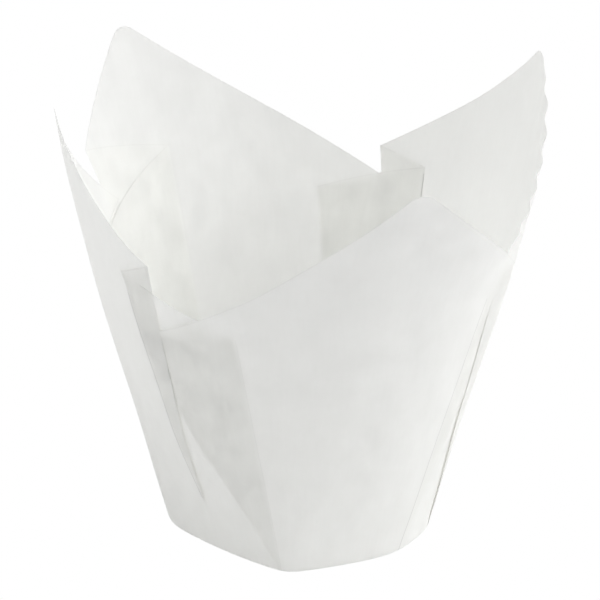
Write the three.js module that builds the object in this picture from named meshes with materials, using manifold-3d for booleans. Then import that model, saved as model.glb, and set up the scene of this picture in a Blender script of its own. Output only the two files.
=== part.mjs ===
// A tulip baking cup: one square sheet of greaseproof paper pressed over a round plug.
// The four corners of the sheet stand up as petals. The middle of each side is tucked in as an
// inverted box pleat, with two turned-back layers over a centre panel. Millimetres, +Z up.
import * as THREE from "three";
import { mergeVertices } from "three/addons/utils/BufferGeometryUtils.js";
import Module from "manifold-3d";

const wasm = await Module();
wasm.setup();

// Sheet and plug
const sheetSide = 159;
const paperThickness = 0.3;
const baseRadius = 24.75;
const wallFlare = 14.4; // degrees between the wall and the vertical
const footRadius = 1.7; // rounding between the base and the wall
const cornerRadius = 3; // rounded corners of the sheet

// The base edge: eight nearly straight sides with rounded corners, fading into the round wall
const baseCorners = [-22, 47, 74, 128, 166, 199, 264, 313]; // directions in degrees
const baseFlatness = 0.75; // 0 is a round base edge, 1 an eight-sided one
const cornerSharpness = 22; // a higher power leaves less rounding at the corners
const baseSpread = 1.05; // keeps the girth of the base, which the straight sides would cut down
const baseFadeHeight = 32; // slant height over which the sides fade out

// Bend of the petals above the pleats
const bendStart = 46;
const bendEnd = 81;

// Layers inside a pleat, as depths under the outside of the wall
const tuckDepth = 0.66; // where a tucked petal runs under its neighbour
const panelDepth = 1.36; // the centre panel, under four layers
const panelSag = 0.5; // how far the middle of the panel stands off its creases
const layerRise = 12; // slant height over which the layers part
const foldBite = 0.2; // share of the thickness that two layers have in common along a fold
const foldStart = 0.06; // share of a fold's length near its apex where the layers are one
const tuckFrom = 0.45; // a tucked petal dives between these shares of its half width
const tuckTo = 0.85;
const outerDive = 0.8; // share of a turned-back layer's width that stays flat, outer petals
const tuckedDive = 0.2; // the same for tucked petals

// Each petal: compass direction of its base edge, tip position against the sheet's own corner
// (sideways and up), turn of its tip, bend above the pleats and, for its two ends, the fold.
// A fold starts at an apex (direction, slant height), leans away from the petal's middle and
// turns back by the width angle. Angles in degrees, petals in the order right, back, left, front.
const petals = [
  {
    axis: 15.7, tipAside: -0.2, tipUp: 2.2, twist: -1, bend: 5.2, tucked: false,
    start: { at: -22, up: 0, lean: 5, width: 15 },
    end: { at: 46.8, up: 0, lean: 13.5, width: 9.5 },
  },
  {
    axis: 105.6, tipAside: 24.6, tipUp: -2, twist: 11.2, bend: -1.2, tucked: true,
    start: { at: 74.2, up: 0, lean: 9, width: 17 },
    end: { at: 127.6, up: 0, lean: 19.4, width: 18.6 },
  },
  {
    axis: 195.6, tipAside: -4.7, tipUp: -0.8, twist: -8.2, bend: 7.6, tucked: false,
    start: { at: 166, up: 0, lean: 10, width: 16 },
    end: { at: 228.5, up: 12, lean: 1.4, width: 8 },
  },
  {
    axis: 287.6, tipAside: 5, tipUp: 0.3, twist: 2, bend: -5.4, tucked: true,
    start: { at: 262, up: 0, lean: 29, width: 22 },
    end: { at: 314.3, up: 0, lean: 18.8, width: 10.5 },
  },
];

// Grid of the faces
const petalColumns = 18;
const wallRows = 12;
const footRows = 3;
const pleatColumns = 3;
const panelColumns = 6;
const pleatRows = 8;
const baseColumns = 64;
const tipCrowding = 1.35; // columns lie closer together round a petal's tip
const weldDistance = 1e-4;
const hemReach = footRadius / 2; // how far the walls run in over the base

const radians = THREE.MathUtils.degToRad;
const flare = radians(wallFlare);
const coneLength = baseRadius / Math.sin(flare); // from the wall cone's own tip to the base edge
const footLength = footRadius * Math.tan((Math.PI / 2 - flare) / 2);
const foldGap = paperThickness * (1 - foldBite);

const cutAngle = (3 * Math.PI) / 4; // between a petal's middle line and its cut edges

const baseSides = baseCorners.map((corner, index) => {
  const next = baseCorners[index + 1] ?? baseCorners[0] + 360;
  return { middle: radians((corner + next) / 2), distance: Math.cos(radians(next - corner) / 2) };
});

// Distance of the base edge from the middle, as a share of the base radius.
function edgeFactor(azimuth) {
  const shares = baseSides.map((side) => Math.max(Math.cos(azimuth - side.middle), 0) / side.distance);
  const powers = shares.reduce((sum, share) => sum + share ** cornerSharpness, 0);
  return baseSpread * powers ** (-1 / cornerSharpness);
}

// The wall's section at a slant height: radius, height and outward direction.
function section(slant, bend) {
  if (slant < footLength) {
    const turn = (Math.PI / 2 - flare) * Math.max(slant, 0) / footLength;
    return {
      radius: baseRadius - footLength + footRadius * Math.sin(turn) + Math.min(slant, 0),
      height: footRadius * (1 - Math.cos(turn)),
      out: Math.sin(turn),
      up: -Math.cos(turn),
    };
  }
  const span = bendEnd - bendStart;
  const share = THREE.MathUtils.clamp((slant - bendStart) / span, 0, 1);
  const over = Math.max(slant - bendEnd, 0);
  const turned = (share * share * span) / 2 + over;
  const turnedTwice = (share ** 3 * span) / 3 + over;
  const angle = flare - bend * share;
  return {
    radius: baseRadius + slant * Math.sin(flare) - bend * Math.cos(flare) * turned
      - bend * bend * Math.sin(flare) * turnedTwice / 2,
    height: slant * Math.cos(flare) + bend * Math.sin(flare) * turned
      - bend * bend * Math.cos(flare) * turnedTwice / 2,
    out: Math.cos(angle),
    up: -Math.sin(angle),
  };
}

// A point of the paper: direction, slant height, and depth under the outside of the wall.
function paperPoint(azimuth, slant, depth, bend = 0) {
  const { radius, height, out, up } = section(slant, bend);
  const fade = 1 - THREE.MathUtils.smoothstep(slant, 0, baseFadeHeight);
  const facet = 1 + (edgeFactor(azimuth) - 1) * baseFlatness * fade;
  const reach = radius * facet - depth * out;
  return new THREE.Vector3(reach * Math.cos(azimuth), reach * Math.sin(azimuth), height - depth * up);
}

// The wall cone unrolled flat about a petal's own middle line: x sideways, y up the slant.
function unroll(axis, azimuth, slant) {
  const angle = (azimuth - axis) * Math.sin(flare);
  return new THREE.Vector2(Math.sin(angle), Math.cos(angle))
    .multiplyScalar(coneLength + slant)
    .sub(new THREE.Vector2(0, coneLength));
}

function rollUp(axis, point) {
  const y = coneLength + point.y;
  return {
    azimuth: axis + Math.atan2(point.x, y) / Math.sin(flare),
    slant: Math.hypot(point.x, y) - coneLength,
  };
}

const heading = (angle) => new THREE.Vector2(Math.sin(angle), Math.cos(angle));

// Where two lines of the flat sheet cross, each given by a point and a direction.
function crossing(a, alongA, b, alongB) {
  const gap = b.clone().sub(a);
  return a.clone().addScaledVector(alongA, gap.cross(alongB) / alongA.cross(alongB));
}

// Lays out one petal on the unrolled cone: its tip, cut edges, fold edges and turned-back ends.
// The turned-back end's cut edge is the petal's own cut edge mirrored in the fold.
function layOut(petal) {
  const axis = radians(petal.axis);
  const tipSlant = sheetSide / Math.SQRT2 - baseRadius + petal.tipUp;
  const tip = new THREE.Vector2(petal.tipAside, tipSlant);
  const ends = [petal.start, petal.end].map((fold, index) => {
    const side = index ? 1 : -1;
    const foot = unroll(axis, radians(fold.at), 0);
    const apex = unroll(axis, radians(fold.at), fold.up);
    const generator = (radians(fold.at) - axis) * Math.sin(flare);
    const foldLine = heading(generator + side * radians(fold.lean));
    const backLine = heading(generator + side * radians(fold.lean - fold.width));
    const cut = heading(radians(petal.twist) + side * cutAngle);
    const corner = crossing(apex, foldLine, tip, cut);
    const mirrored = foldLine.clone().multiplyScalar(2 * foldLine.dot(cut)).sub(cut);
    const backTop = crossing(apex, backLine, corner, mirrored);
    return { side, foot, apex, corner, backTop, cut, up: fold.up };
  });
  return { petal, axis, bend: radians(petal.bend), tip, ends };
}

// A closed slab from a grid of paper places, each with its azimuth, slant, depth and bend.
function slab(columns, rows, place) {
  const points = [];
  const faces = [];
  const width = columns + 1;
  const layer = width * (rows + 1);
  for (const under of [0, paperThickness]) {
    for (let row = 0; row <= rows; row++) {
      for (let column = 0; column <= columns; column++) {
        const { azimuth, slant, depth, bend } = place(column / columns, row / rows);
        points.push(...paperPoint(azimuth, slant, depth + under, bend).toArray());
      }
    }
  }
  const quad = (a, b, c, d) => faces.push(a, b, c, a, c, d);
  for (let row = 0; row < rows; row++) {
    for (let column = 0; column < columns; column++) {
      const a = row * width + column;
      quad(a, a + 1, a + width + 1, a + width);
      quad(layer + a, layer + a + width, layer + a + width + 1, layer + a + 1);
    }
  }
  for (let column = 0; column < columns; column++) {
    const top = rows * width + column;
    quad(column, layer + column, layer + column + 1, column + 1);
    quad(top, top + 1, layer + top + 1, layer + top);
  }
  for (let row = 0; row < rows; row++) {
    const left = row * width;
    const right = left + columns;
    quad(left, left + width, layer + left + width, layer + left);
    quad(right, layer + right, layer + right + width, right + width);
  }
  return solidOf(points, faces);
}

function solidOf(points, faces) {
  const geometry = new THREE.BufferGeometry();
  geometry.setAttribute("position", new THREE.Float32BufferAttribute(points, 3));
  geometry.setIndex(faces);
  const merged = mergeVertices(geometry, weldDistance);
  return new wasm.Manifold(new wasm.Mesh({
    numProp: 3,
    vertProperties: merged.attributes.position.array,
    triVerts: new Uint32Array(merged.index.array),
  }));
}

// Rows of a wall: the rounded foot first, then up to the given slant height.
function wallSlant(share, top) {
  const footShare = footRows / wallRows;
  if (share <= footShare) return THREE.MathUtils.lerp(-hemReach, footLength, share / footShare);
  return THREE.MathUtils.lerp(footLength, top, (share - footShare) / (1 - footShare));
}

const layerParting = (slant, up) => THREE.MathUtils.smoothstep(slant, up, up + layerRise);

// The cut edge of a petal at a place across it, -1 at its first fold, 0 at its tip, 1 at its last.
function petalRim({ tip, ends, petal }, across) {
  const end = across < 0 ? ends[0] : ends[1];
  const length = end.corner.distanceTo(tip);
  const along = Math.abs(across) * length;
  if (along >= cornerRadius) return tip.clone().addScaledVector(end.cut, along);
  const turn = (1 - along / cornerRadius) * Math.PI / 4;
  const centre = tip.clone().addScaledVector(heading(radians(petal.twist)), -cornerRadius * Math.SQRT2);
  const angle = radians(petal.twist) + end.side * (Math.PI / 4 - turn);
  return centre.addScaledVector(heading(angle), cornerRadius);
}

// Columns across a petal, closer together round its tip.
function acrossPetal(share) {
  const across = 2 * share - 1;
  return Math.sign(across) * Math.abs(across) ** tipCrowding;
}

function petalWall(laid) {
  const { axis, ends, petal, bend } = laid;
  return slab(petalColumns, wallRows, (u, v) => {
    const across = acrossPetal(u);
    const rim = rollUp(axis, petalRim(laid, across));
    const first = rollUp(axis, ends[0].foot).azimuth;
    const last = rollUp(axis, ends[1].foot).azimuth;
    const footAzimuth = THREE.MathUtils.lerp(first, last, (across + 1) / 2);
    const slant = wallSlant(v, rim.slant);
    const foot = unroll(axis, footAzimuth, 0);
    const top = unroll(axis, rim.azimuth, rim.slant);
    const line = foot.lerp(top, THREE.MathUtils.clamp(slant / rim.slant, 0, 1));
    const { azimuth } = rollUp(axis, line);
    const edge = THREE.MathUtils.smoothstep(Math.abs(across), tuckFrom, tuckTo);
    const depth = petal.tucked ? tuckDepth * edge * layerParting(slant, 0) : 0;
    return { azimuth, slant, depth, bend };
  });
}

// The layer turned back under a fold, from the fold edge to its inner crease.
function turnedBack(laid, end) {
  const { axis, petal, bend } = laid;
  const outer = petal.tucked ? tuckDepth : 0;
  return slab(pleatColumns, pleatRows, (u, v) => {
    const across = end.side > 0 ? 1 - u : u;
    const up = THREE.MathUtils.lerp(foldStart, 1, v);
    const foldPlace = end.apex.clone().lerp(end.corner, up);
    const backPlace = end.apex.clone().lerp(end.backTop, up);
    const { azimuth, slant } = rollUp(axis, foldPlace.lerp(backPlace, across));
    const dive = THREE.MathUtils.smoothstep(across, petal.tucked ? tuckedDive : outerDive, 1);
    const depth = THREE.MathUtils.lerp(outer + foldGap, panelDepth - foldGap, dive);
    const parting = layerParting(slant, end.up);
    return { azimuth, slant, depth: depth * parting, bend: bend * (1 - across) };
  });
}

// The centre panel of a pleat, between the inner creases of two neighbouring petals.
function centrePanel(before, after, wrap) {
  const left = before.ends[1];
  const right = after.ends[0];
  const sideLine = (laid, end, slant) => {
    const height = Math.max(slant, 0);
    const apexSlant = end.up;
    if (height < apexSlant) return rollUp(laid.axis, end.foot).azimuth;
    const top = rollUp(laid.axis, end.backTop).slant;
    const share = (height - apexSlant) / (top - apexSlant);
    return rollUp(laid.axis, end.apex.clone().lerp(end.backTop, share)).azimuth;
  };
  const leftTop = rollUp(before.axis, left.backTop).slant;
  const rightTop = rollUp(after.axis, right.backTop).slant;
  return slab(panelColumns, wallRows, (u, v) => {
    const top = THREE.MathUtils.lerp(leftTop, rightTop, u);
    const slant = wallSlant(v, top);
    const lap = foldGap / baseRadius; // runs a little under both neighbours
    const first = sideLine(before, left, Math.min(slant, leftTop)) - lap;
    const last = sideLine(after, right, Math.min(slant, rightTop)) + wrap + lap;
    const azimuth = THREE.MathUtils.lerp(first, last, u);
    const apexSlant = THREE.MathUtils.lerp(left.up, right.up, u);
    const bow = panelSag * (1 - (2 * u - 1) ** 2);
    return { azimuth, slant, depth: (panelDepth + bow) * layerParting(slant, apexSlant), bend: 0 };
  });
}

// The flat base inside the rounded foot.
function base() {
  const reach = -hemReach / 2; // the walls lap over the rim of the base
  const ring = Array.from({ length: baseColumns }, (_, index) => (2 * Math.PI * index) / baseColumns);
  const points = [0, 0, 0, 0, 0, paperThickness];
  for (const azimuth of ring) {
    points.push(...paperPoint(azimuth, reach, 0).toArray());
    points.push(...paperPoint(azimuth, reach, paperThickness).toArray());
  }
  const faces = [];
  ring.forEach((_, index) => {
    const low = 2 + 2 * index;
    const nextLow = 2 + 2 * ((index + 1) % baseColumns);
    faces.push(0, nextLow, low);
    faces.push(1, low + 1, nextLow + 1);
    faces.push(low, nextLow, nextLow + 1, low, nextLow + 1, low + 1);
  });
  return solidOf(points, faces);
}

// Layers that press on each other can enclose a small pocket, which is closed up.
function withoutPockets(solid) {
  return solid.decompose().reduce((whole, body) => (body.volume() > whole.volume() ? body : whole));
}

function foldedSheet() {
  const laid = petals.map(layOut);
  const pieces = [base()];
  laid.forEach((petal, index) => {
    const next = laid[(index + 1) % laid.length];
    const wrap = index === laid.length - 1 ? 2 * Math.PI : 0;
    pieces.push(petalWall(petal));
    for (const end of petal.ends) pieces.push(turnedBack(petal, end));
    pieces.push(centrePanel(petal, next, wrap));
  });
  const joined = pieces.reduce((whole, piece) => whole.add(piece));
  const mesh = withoutPockets(joined).getMesh();
  const geometry = new THREE.BufferGeometry();
  const positions = new Float32Array(mesh.numVert * 3);
  for (let index = 0; index < mesh.numVert; index++) {
    const from = index * mesh.numProp;
    positions.set(mesh.vertProperties.subarray(from, from + 3), index * 3);
  }
  geometry.setAttribute("position", new THREE.BufferAttribute(positions, 3));
  geometry.setIndex(new THREE.BufferAttribute(mesh.triVerts, 1));
  geometry.computeVertexNormals();
  return geometry;
}

const paper = new THREE.MeshStandardMaterial({ color: 0xeef0ec, roughness: 0.7, metalness: 0 });
paper.side = THREE.DoubleSide;

const cup = new THREE.Group();
const sheet = new THREE.Mesh(foldedSheet(), paper);
sheet.name = "folded_sheet";
cup.add(sheet);

export default cup;
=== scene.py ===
import math

import bmesh
import bpy
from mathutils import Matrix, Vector, noise


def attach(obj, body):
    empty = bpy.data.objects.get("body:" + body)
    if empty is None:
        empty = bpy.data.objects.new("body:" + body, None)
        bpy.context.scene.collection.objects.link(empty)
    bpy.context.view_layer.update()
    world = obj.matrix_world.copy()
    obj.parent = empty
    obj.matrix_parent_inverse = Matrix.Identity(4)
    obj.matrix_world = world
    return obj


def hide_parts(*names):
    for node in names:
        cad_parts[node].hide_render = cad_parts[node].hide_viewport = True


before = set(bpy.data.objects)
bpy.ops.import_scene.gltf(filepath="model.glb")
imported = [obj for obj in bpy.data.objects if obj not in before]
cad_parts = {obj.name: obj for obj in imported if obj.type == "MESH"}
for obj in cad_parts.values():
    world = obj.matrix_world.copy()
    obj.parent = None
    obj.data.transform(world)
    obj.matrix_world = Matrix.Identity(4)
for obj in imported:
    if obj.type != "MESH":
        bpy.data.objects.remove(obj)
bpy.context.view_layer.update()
mm = 0.001
imageSize = 600

# The cup is one square sheet pressed over a round plug, in millimetres and degrees
cup = dict(
    sheetSide=159,
    cornerRadius=3,        # of the sheet's own corners
    baseRadius=24.75,
    wallFlare=14.4,        # between the wall and the vertical
    footRadius=1.7,        # rounding between base and wall
    baseCorners=(-22, 47, 74, 128, 166, 199, 264, 313),
    baseFlatness=0.75,     # 0 is a round base edge, 1 an eight-sided one
    cornerSharpness=22,    # a higher power leaves less rounding at the base's corners
    baseSpread=1.05,       # keeps the girth of the base, which the flat sides would cut down
    baseFadeHeight=32,     # slant height where the eight sides have faded out
    bendStart=46,          # the petals bend between these slant heights
    bendEnd=81,
    paperThickness=0.045,
    creaseAngle=40,        # a sharper bend than this is shaded as a crease
    weldDistance=0.002,
    specks=0.001,          # edges shorter than this are taken out
)

# How deep the layers of a pleat lie under the outside of the wall
layers = dict(
    tuckDepth=0.145,       # a tucked petal under its neighbour
    tuckFrom=0.45,         # it goes down between these shares of the half petal
    tuckTo=0.85,
    foldOpening=0.07,      # how far a turned-back layer stands off just behind its fold
    openingReach=0.02,     # and from which share of its width
    tuckedDive=0.2,        # from which share of its width it goes down to the centre panel
    outerDive=0.8,         # and the same where the petal isn't tucked
    panelDepth=0.29,       # the centre panel
    panelSag=0.08,
    rise=4,                # the layers part over this slant height above a fold's apex
)

# start and end are a petal's two folds: apex direction and height, lean and width of the fold
petals = [
    dict(name="right", axis=15.7, tipAside=-0.2, tipUp=2.2, twist=-1, bend=5.2, tucked=False,
         start=dict(at=-22, up=0, lean=5, width=15),
         end=dict(at=46.8, up=0, lean=13.5, width=9.5)),
    dict(name="back", axis=105.6, tipAside=24.6, tipUp=-2, twist=11.2, bend=-1.2, tucked=True,
         start=dict(at=74.2, up=0, lean=9, width=17),
         end=dict(at=127.6, up=0, lean=19.4, width=18.6)),
    dict(name="left", axis=195.6, tipAside=-4.7, tipUp=-0.8, twist=-8.2, bend=7.6, tucked=False,
         start=dict(at=166, up=0, lean=10, width=16),
         end=dict(at=228.5, up=12, lean=1.4, width=8)),
    dict(name="front", axis=287.6, tipAside=5, tipUp=0.3, twist=2, bend=-5.4, tucked=True,
         start=dict(at=262, up=0, lean=29, width=23),
         end=dict(at=314.3, up=0, lean=18.8, width=10.5)),
]

grid = dict(
    petalColumns=116,
    tipCrowding=1.25,      # columns lie closer together round a petal's tip
    backColumns=18,
    foldMargin=0.004,      # a narrow column beside each fold, as a share of the half petal
    panelMargin=0.02,      # and beside each inner crease, as a share of the panel
    rimMargin=0.35,        # and a narrow row under the cut edge
    panelColumns=26,
    baseRows=5,
    footRows=5,
    wallRows=50,
)

# Slow waves of the pressed paper, the same for all layers, fading out towards the base
waves = dict(height=0.5, around=3.4, upwards=30, low=3, high=40)

# The right petal's cut edge is ruffled between its tip and its first fold
ruffle = dict(
    petal="right",
    height=0.3,
    length=5.3,
    unevenness=0.7,
    reach=6,               # how far down the wall it fades out
    tipMargin=8,
    foldMargin=12,
)

flare = math.radians(cup["wallFlare"])
coneLength = cup["baseRadius"] / math.sin(flare)
footLength = cup["footRadius"] * math.tan((math.pi / 2 - flare) / 2)
farAway = 1.0              # stands for no crease underneath


def clamp(value, low=0.0, high=1.0):
    return max(low, min(high, value))


def smoothStep(value, low, high):
    share = clamp((value - low) / (high - low))
    return share * share * (3 - 2 * share)


def mix(a, b, share):
    return a + (b - a) * share


def baseSides():
    # direction and distance of the eight nearly straight sides of the base edge
    corners = [math.radians(corner) for corner in cup["baseCorners"]]
    for corner, after in zip(corners, corners[1:] + [corners[0] + math.tau]):
        yield (corner + after) / 2, math.cos((after - corner) / 2)


sides = list(baseSides())


def edgeFactor(azimuth):
    # distance of the base edge from the middle, as a share of the base radius
    power = cup["cornerSharpness"]
    shares = (max(math.cos(azimuth - middle), 0) / distance for middle, distance in sides)
    return cup["baseSpread"] * sum(share ** power for share in shares) ** (-1 / power)


def section(slant, bend):
    # radius, height and outward direction of the wall at a slant height
    base, foot = cup["baseRadius"], cup["footRadius"]
    if slant < footLength:
        turn = (math.pi / 2 - flare) * max(slant, 0) / footLength
        radius = base - footLength + foot * math.sin(turn) + min(slant, 0)
        return radius, foot * (1 - math.cos(turn)), math.sin(turn), -math.cos(turn)
    span = cup["bendEnd"] - cup["bendStart"]
    share = clamp((slant - cup["bendStart"]) / span)
    over = max(slant - cup["bendEnd"], 0)
    turned = share ** 2 * span / 2 + over
    turnedTwice = share ** 3 * span / 3 + over
    radius = (base + slant * math.sin(flare) - bend * math.cos(flare) * turned
              - bend ** 2 * math.sin(flare) * turnedTwice / 2)
    height = (slant * math.cos(flare) + bend * math.sin(flare) * turned
              - bend ** 2 * math.cos(flare) * turnedTwice / 2)
    angle = flare - bend * share
    return radius, height, math.cos(angle), -math.sin(angle)


def waveHeight(azimuth, slant):
    spot = Vector((math.cos(azimuth) * waves["around"], math.sin(azimuth) * waves["around"],
                   slant / waves["upwards"]))
    return waves["height"] * smoothStep(slant, waves["low"], waves["high"]) * noise.noise(spot)


def paperPoint(azimuth, slant, depth, bend):
    radius, height, out, up = section(slant, bend)
    depth -= waveHeight(azimuth, slant)
    fade = 1 - smoothStep(slant, 0, cup["baseFadeHeight"])
    facet = 1 + (edgeFactor(azimuth) - 1) * cup["baseFlatness"] * fade
    reach = radius * facet - depth * out
    return Vector((reach * math.cos(azimuth), reach * math.sin(azimuth), height - depth * up)) * mm


def unroll(axis, azimuth, slant):
    # the wall cone unrolled flat about a petal's middle line: x sideways, y up the slant
    angle = (azimuth - axis) * math.sin(flare)
    fromApex = Vector((math.sin(angle), math.cos(angle))) * (coneLength + slant)
    return fromApex - Vector((0, coneLength))


def rollUp(axis, point):
    y = coneLength + point.y
    azimuth = axis + math.atan2(point.x, y) / math.sin(flare)
    return azimuth, math.hypot(point.x, y) - coneLength


def heading(angle):
    return Vector((math.sin(angle), math.cos(angle)))


def crossing(a, alongA, b, alongB):
    gap = b - a
    cross = alongA.x * alongB.y - alongA.y * alongB.x
    return a + alongA * (gap.x * alongB.y - gap.y * alongB.x) / cross


def layOut(petal):
    # tip, cut edges and folds of one petal on the unrolled cone
    axis = math.radians(petal["axis"])
    tipHeight = cup["sheetSide"] / math.sqrt(2) - cup["baseRadius"] + petal["tipUp"]
    tip = Vector((petal["tipAside"], tipHeight))
    ends = []
    for side, fold in ((-1, petal["start"]), (1, petal["end"])):
        at = math.radians(fold["at"])
        apex = unroll(axis, at, fold["up"])
        generator = (at - axis) * math.sin(flare)
        foldLine = heading(generator + side * math.radians(fold["lean"]))
        backLine = heading(generator + side * math.radians(fold["lean"] - fold["width"]))
        cut = heading(math.radians(petal["twist"]) + side * 0.75 * math.pi)
        corner = crossing(apex, foldLine, tip, cut)
        mirrored = foldLine * (2 * foldLine.dot(cut)) - cut
        backTop = crossing(apex, backLine, corner, mirrored)
        ends.append(dict(side=side, at=at, up=fold["up"], apex=apex, corner=corner,
                         backTop=backTop, cut=cut))
    return dict(petal, axis=axis, tip=tip, ends=ends, bendAngle=math.radians(petal["bend"]))


def petalRim(laid, across):
    # a place on the petal's cut edge, from -1 at its first fold over 0 at the tip to 1 at its last
    end = laid["ends"][0 if across < 0 else 1]
    along = abs(across) * (end["corner"] - laid["tip"]).length
    radius = cup["cornerRadius"]
    if along >= radius:
        return laid["tip"] + end["cut"] * along
    twist = math.radians(laid["twist"])
    centre = laid["tip"] - heading(twist) * radius * math.sqrt(2)
    return centre + heading(twist + end["side"] * along / radius * math.pi / 4) * radius


def rowSlant(row, top):
    # rows run from the middle of the base, round the foot and up the wall
    if row <= grid["baseRows"]:
        return -(cup["baseRadius"] - footLength) * (1 - row / grid["baseRows"])
    row -= grid["baseRows"]
    if row <= grid["footRows"]:
        return footLength * row / grid["footRows"]
    row -= grid["footRows"]
    if row == grid["wallRows"]:
        return top
    return mix(footLength, top - grid["rimMargin"], row / (grid["wallRows"] - 1))


def foldPlace(laid, end, row, line):
    # a place on a fold edge ("corner") or on its inner crease ("backTop"), on the same row
    top = rollUp(laid["axis"], end["corner"])[1]
    slant = rowSlant(row, top)
    if slant <= end["up"]:
        return end["at"], slant
    share = (slant - end["up"]) / (top - end["up"])
    return rollUp(laid["axis"], end["apex"].lerp(end[line], share))


def parting(slant, up):
    return smoothStep(slant, up, up + layers["rise"])


def ruffleHeight(laid, across, below):
    edge = (laid["ends"][0]["corner"] - laid["tip"]).length
    along = abs(across) * edge
    strength = smoothStep(along, ruffle["tipMargin"] / 2, ruffle["tipMargin"])
    strength *= 1 - smoothStep(along, edge - ruffle["foldMargin"], edge)
    drift = ruffle["unevenness"] * math.sin(along / ruffle["length"])
    wave = math.sin(math.tau * along / ruffle["length"] + drift)
    return ruffle["height"] * wave * strength * math.exp(-max(below, 0) / ruffle["reach"])


# Each place below is direction, slant height, depth under the wall and bend of one point


def wallPlace(laid, across, row):
    rimAzimuth, rimSlant = rollUp(laid["axis"], petalRim(laid, across))
    slant = rowSlant(row, rimSlant)
    first, last = laid["ends"]
    azimuth = footAzimuth = mix(first["at"], last["at"], (across + 1) / 2)
    if slant > 0:
        foot = unroll(laid["axis"], footAzimuth, 0)
        top = unroll(laid["axis"], rimAzimuth, rimSlant)
        azimuth, slant = rollUp(laid["axis"], foot.lerp(top, clamp(slant / rimSlant)))
    if abs(across) == 1:
        azimuth, slant = foldPlace(laid, first if across < 0 else last, row, "corner")
    depth = 0
    if laid["tucked"]:
        tuck = smoothStep(abs(across), layers["tuckFrom"], layers["tuckTo"])
        depth = layers["tuckDepth"] * tuck * parting(slant, 0)
    if laid["name"] == ruffle["petal"] and across < 0:
        depth = -ruffleHeight(laid, across, rimSlant - slant)
    return azimuth, slant, depth, laid["bendAngle"]


def backPlace(laid, end, inward, row):
    # the layer turned back under a fold: 0 at the fold edge, 1 at the inner crease
    foldAzimuth, foldSlant = foldPlace(laid, end, row, "corner")
    innerAzimuth, innerSlant = foldPlace(laid, end, row, "backTop")
    azimuth, slant = mix(foldAzimuth, innerAzimuth, inward), mix(foldSlant, innerSlant, inward)
    outer = layers["tuckDepth"] if laid["tucked"] else 0
    dive = smoothStep(inward, layers["tuckedDive"] if laid["tucked"] else layers["outerDive"], 1)
    opening = layers["foldOpening"] * smoothStep(inward, 0, layers["openingReach"]) * (1 - dive)
    depth = (mix(outer, layers["panelDepth"], dive) + opening) * parting(slant, end["up"])
    if laid["tucked"] and inward == 0:
        depth = layers["tuckDepth"] * parting(slant, 0)
    return azimuth, slant, depth, laid["bendAngle"] * (1 - inward)


def panelPlace(before, after, wrap, across, row):
    left, right = before["ends"][1], after["ends"][0]
    leftAzimuth, leftSlant = foldPlace(before, left, row, "backTop")
    rightAzimuth, rightSlant = foldPlace(after, right, row, "backTop")
    azimuth = mix(leftAzimuth, rightAzimuth + wrap, across)
    slant = mix(leftSlant, rightSlant, across)
    bow = layers["panelSag"] * (1 - (2 * across - 1) ** 2)
    depth = (layers["panelDepth"] + bow) * parting(slant, mix(left["up"], right["up"], across))
    return azimuth, slant, depth, 0


def sheetColumns(laidPetals):
    # the columns of the sheet once round the cup: whether a crease, which petal's wall, its places
    columns = []

    def add(crease, place, *which):
        wall = which[0] if place is wallPlace else None
        columns.append((crease, wall, lambda row: place(*which, row)))

    half = grid["petalColumns"] // 2
    petalShares = [math.copysign(abs(step / half) ** grid["tipCrowding"], step)
                   for step in range(-half, half)]
    petalShares[1:1] = [grid["foldMargin"] - 1]
    petalShares.append(1 - grid["foldMargin"])
    backShares = [smoothStep(step, 0, grid["backColumns"]) for step in range(grid["backColumns"])]
    panelShares = [step / grid["panelColumns"] for step in range(grid["panelColumns"])]
    panelShares[1:1] = [grid["panelMargin"]]
    panelShares.append(1 - grid["panelMargin"])
    for index, laid in enumerate(laidPetals):
        first, last = laid["ends"]
        after = laidPetals[(index + 1) % len(laidPetals)]
        wrap = math.tau if index == len(laidPetals) - 1 else 0
        for share in backShares:
            add(share == 0, backPlace, laid, first, 1 - share)
        for share in petalShares:
            add(share == -1, wallPlace, laid, share)
        for share in backShares:
            add(share == 0, backPlace, laid, last, share)
        for share in panelShares:
            add(share == 0, panelPlace, laid, after, wrap, share)
    return columns


def pressedThrough(laid, azimuth, slant):
    # distances on the flat petal from the two inner creases that lie under it, over which the
    # material paints a fine line of shade
    point = unroll(laid["axis"], azimuth, slant)
    distances = []
    for end in laid["ends"]:
        crease = end["backTop"] - end["apex"]
        gap = point - end["apex"]
        along = crease.normalized()
        beside = (gap.x * along.y - gap.y * along.x) * mm
        distances.append(beside if 0 < gap.dot(along) < crease.length else farAway)
    return distances


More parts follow.
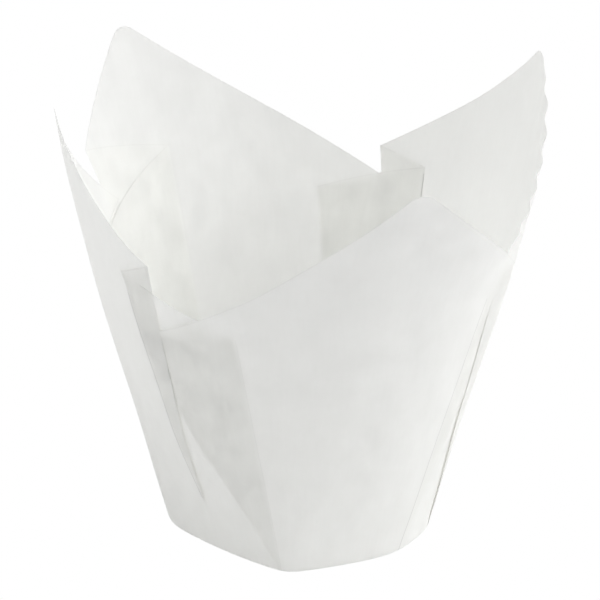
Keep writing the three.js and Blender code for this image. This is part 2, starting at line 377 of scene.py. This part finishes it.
def foldedSheet():
    # a flat grid bent into the whole sheet, with what its material reads in three UV maps
    columns = sheetColumns([layOut(petal) for petal in petals])
    rows = grid["baseRows"] + grid["footRows"] + grid["wallRows"]
    bm = bmesh.new()
    flatSheet, marks, pressed = [bm.loops.layers.uv.new(name)
                                 for name in ("flatSheet", "marks", "pressed")]
    bmesh.ops.create_grid(bm, x_segments=len(columns), y_segments=rows, size=0.5)
    spots, under = {}, {}
    for vert in bm.verts:
        crease, wall, place = columns[round((vert.co.x + 0.5) * len(columns)) % len(columns)]
        row = round((vert.co.y + 0.5) * rows)
        azimuth, slant, depth, bend = place(row)
        creased = crease and slant > layers["rise"]
        # the marks map holds whether a place is a crease and whether it is on the cut edge, which
        # the material darkens as painted shade
        spots[vert.index] = ((azimuth * cup["baseRadius"] * mm, slant * mm),
                             (creased, row == rows))
        under[vert.index] = (pressedThrough(wall, azimuth, slant) if wall
                             else (farAway, farAway))
        vert.co = paperPoint(azimuth, slant, depth, bend)
    for face in bm.faces:
        creases = list(zip(*(under[vert.index] for vert in face.verts)))
        for corner, loop in enumerate(face.loops):
            loop[flatSheet].uv, loop[marks].uv = spots[loop.vert.index]
            loop[pressed].uv = [farAway if farAway in gaps else gaps[corner] for gaps in creases]
    bmesh.ops.remove_doubles(bm, verts=bm.verts, dist=cup["weldDistance"] * mm)
    bmesh.ops.dissolve_degenerate(bm, dist=cup["specks"] * mm, edges=bm.edges)
    for edge in bm.edges:
        # creases and cut edges stay sharp, the rest is shaded smooth
        bent = edge.is_boundary or edge.calc_face_angle(0) >= math.radians(cup["creaseAngle"])
        edge.smooth = not bent
    for face in bm.faces:
        face.smooth = True
    mesh = bpy.data.meshes.new("folded_paper")
    bm.to_mesh(mesh)
    bm.free()
    sheet = bpy.data.objects.new("folded_paper", mesh)
    bpy.context.scene.collection.objects.link(sheet)
    thick = sheet.modifiers.new("thickness", "SOLIDIFY")
    thick.thickness = cup["paperThickness"] * mm
    thick.offset = 0
    return sheet


class Socket:
    # sums, differences, products and quotients of shader values add Math nodes
    def __init__(self, tree, link):
        self.tree = tree
        self.link = link

    def maths(self, operation, *others):
        node = self.tree.nodes.new("ShaderNodeMath")
        node.operation = operation
        for index, value in enumerate((self, *others)):
            if isinstance(value, Socket):
                self.tree.links.new(value.link, node.inputs[index])
            else:
                node.inputs[index].default_value = value
        return Socket(self.tree, node.outputs[0])

    def __add__(self, other):
        return self.maths("ADD", other)

    def __sub__(self, other):
        return self.maths("SUBTRACT", other)

    def __mul__(self, other):
        return self.maths("MULTIPLY", other)

    def __truediv__(self, other):
        return self.maths("DIVIDE", other)

    def __rsub__(self, other):
        return self * -1 + other

    __radd__ = __add__
    __rmul__ = __mul__


class Shader:
    def __init__(self, owner):
        owner.use_nodes = True
        self.tree = owner.node_tree
        self.tree.nodes.clear()

    def node(self, kind, settings=None, **inputs):
        # an input goes by its name, or by i and its number where two have the same name
        made = self.tree.nodes.new("ShaderNode" + kind)
        for key, value in (settings or {}).items():
            setattr(made, key, value)
        for key, value in inputs.items():
            name = int(key[1:]) if key[1:].isdigit() else key.replace("_", " ")
            if isinstance(value, Socket):
                self.tree.links.new(value.link, made.inputs[name])
            else:
                made.inputs[name].default_value = value
        return Socket(self.tree, made.outputs[0]) if made.outputs else None

    def uvMap(self, name):
        # the two values that the mesh holds in one of its UV maps
        parts = self.node("SeparateXYZ", Vector=self.node("UVMap", dict(uv_map=name))).link.node
        return Socket(self.tree, parts.outputs["X"]), Socket(self.tree, parts.outputs["Y"])


greaseproof = dict(
    colour=(0.965, 0.965, 0.958),
    roughness=0.6,
    through=(0.966, 0.968, 0.957, 1),
    seeThrough=0.47,
    fibreWidth=0.5 * mm,
    fibreLength=6 * mm,
    fibreDepth=0.008 * mm,
    fibreTint=0.08,
    fibreNoise=dict(Scale=1.0, Detail=3.0, Roughness=0.6),
    cloudWidth=3 * mm,
    cloudLength=6 * mm,
    cloudTint=0.13,        # how much the colour varies from cloud to cloud
    cloudClearness=0.19,   # and how much the light let through
    cloudNoise=dict(Scale=1.0, Detail=4.0, Roughness=0.55),
    creaseClearness=0.2,   # a pressed crease lets less light through
    cutEdgePaintedShade=0.08,      # and painted shade darkens the cut edge
    creaseShadeWidth=0.16 * mm,  # an inner crease under the wall gets a fine line of painted shade, at a petal's first fold and at its last
    firstCreasePaintedShade=0.08,   # at a petal's first fold
    lastCreasePaintedShade=0.3,     # and at its last
)


# a fine line of painted shade over an inner crease lying under the wall
def paintedCreaseLine(distance):
    return (1 - distance.maths("ABSOLUTE") / greaseproof["creaseShadeWidth"]).maths("MAXIMUM", 0)


def greaseproofPaper():
    paperLook = bpy.data.materials.new("greaseproof_paper")
    shader = Shader(paperLook)
    across, up = shader.uvMap("flatSheet")
    # the rim mask: the cut edge is painted darker as shade along the rim
    crease, rimShadeMask = shader.uvMap("marks")
    first, last = shader.uvMap("pressed")
    grain = shader.node("CombineXYZ", X=across / greaseproof["fibreWidth"],
                        Y=up / greaseproof["fibreLength"])
    patches = shader.node("CombineXYZ", X=across / greaseproof["cloudWidth"],
                          Y=up / greaseproof["cloudLength"])
    fibres = shader.node("TexNoise", Vector=grain, **greaseproof["fibreNoise"])
    clouds = shader.node("TexNoise", Vector=patches, **greaseproof["cloudNoise"]) - 0.5
    # painted shade: fine dark line over each inner crease under the wall, which also lets less
    # light through
    paintedCreaseLines = (paintedCreaseLine(first) * greaseproof["firstCreasePaintedShade"]
             + paintedCreaseLine(last) * greaseproof["lastCreasePaintedShade"])
    # the paper's own tone from clouds and fibres, with painted shade along the cut edge and over
    # the hidden creases
    shade = (1 - clouds * greaseproof["cloudTint"] - (fibres - 0.5) * greaseproof["fibreTint"]
             - rimShadeMask * greaseproof["cutEdgePaintedShade"] - paintedCreaseLines)
    red, green, blue = [shade * share for share in greaseproof["colour"]]
    tinted = shader.node("CombineColor", Red=red, Green=green, Blue=blue)
    bumps = shader.node("Bump", Height=fibres, Distance=greaseproof["fibreDepth"], Strength=1.0)
    body = shader.node("BsdfPrincipled", Base_Color=tinted, Roughness=greaseproof["roughness"],
                       Normal=bumps)
    through = shader.node("BsdfTranslucent", Color=greaseproof["through"])
    clearness = (greaseproof["seeThrough"] + clouds * greaseproof["cloudClearness"]
                 - crease * greaseproof["creaseClearness"] - paintedCreaseLines)
    mixed = shader.node("MixShader", i0=clearness, i1=body, i2=through)
    shader.node("OutputMaterial", Surface=mixed)
    return paperLook


print("folding the sheet")
paper = foldedSheet()
print("dressing it in greaseproof paper")
paper.data.materials.append(greaseproofPaper())
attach(paper, "root")
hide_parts("folded_sheet")

# Metres, degrees and watts
studio = dict(
    floorSide=8.0,
    floorColour=(0.9, 0.9, 0.9, 1),
    floorRoughness=0.9,
    backdrop=(1, 1, 1, 1),  # what the camera sees round the cup
    worldStrength=0.28,
    bounces=32,             # light is handed on through many layers of paper
    cameraDown=26.5,
    cameraDistance=0.502,
    lookAt=(-0.0002, 0, 0.0428),
    focalPixels=2763.5,
    sensorWidth=36,
    clipStart=0.01,
)

lights = dict(
    fill=dict(place=(-0.9, -0.5, 1.1), size=1.2, power=8.3),
    back=dict(place=(1.1, 0.6, 0.7), size=1.2, power=3.9),
    key=dict(place=(1.1, -0.3, 0.95), size=1.6, power=17.3),
)
lightTarget = (0, 0, 0.04)


def makeFloor():
    bm = bmesh.new()
    bmesh.ops.create_grid(bm, x_segments=1, y_segments=1, size=studio["floorSide"] / 2)
    mesh = bpy.data.meshes.new("floor")
    bm.to_mesh(mesh)
    bm.free()
    floor = bpy.data.objects.new("floor", mesh)
    bpy.context.scene.collection.objects.link(floor)
    floorLook = bpy.data.materials.new("white_floor")
    shader = Shader(floorLook)
    matt = shader.node("BsdfPrincipled", Base_Color=studio["floorColour"],
                       Roughness=studio["floorRoughness"])
    white = shader.node("Emission", Color=studio["backdrop"], Strength=1.0)
    both = shader.node("MixShader", i0=shader.node("LightPath"), i1=matt, i2=white)
    shader.node("OutputMaterial", Surface=both)
    mesh.materials.append(floorLook)


def makeCamera():
    camera = bpy.data.cameras.new("camera")
    camera.sensor_width = studio["sensorWidth"]
    camera.lens = camera.sensor_width * studio["focalPixels"] / imageSize
    camera.clip_start = studio["clipStart"]
    viewer = bpy.data.objects.new("camera", camera)
    down = math.radians(studio["cameraDown"])
    away = Vector((0, -math.cos(down), math.sin(down))) * studio["cameraDistance"]
    viewer.location = Vector(studio["lookAt"]) + away
    viewer.rotation_euler = (math.pi / 2 - down, 0, 0)
    bpy.context.scene.collection.objects.link(viewer)
    bpy.context.scene.camera = viewer


def areaLight(name, place, size, power):
    light = bpy.data.lights.new(name, "AREA")
    light.shape = "DISK"
    light.size = size
    light.energy = power
    lamp = bpy.data.objects.new(name, light)
    lamp.location = place
    towards = Vector(lightTarget) - Vector(place)
    lamp.rotation_euler = towards.to_track_quat("-Z", "Y").to_euler()
    bpy.context.scene.collection.objects.link(lamp)


def makeWorld():
    world = bpy.data.worlds.new("studio")
    shader = Shader(world)
    lit = shader.node("Background", Color=studio["backdrop"], Strength=studio["worldStrength"])
    seen = shader.node("Background", Color=studio["backdrop"], Strength=1.0)
    both = shader.node("MixShader", i0=shader.node("LightPath"), i1=lit, i2=seen)
    shader.node("OutputWorld", Surface=both)
    bpy.context.scene.world = world


print("setting the stage")
makeFloor()
makeCamera()
for name, light in lights.items():
    areaLight(name, **light)
makeWorld()
bpy.context.scene.view_settings.view_transform = "Standard"
tracing = bpy.context.scene.cycles
for kind in ("max_bounces", "diffuse_bounces", "transmission_bounces"):
    setattr(tracing, kind, studio["bounces"])
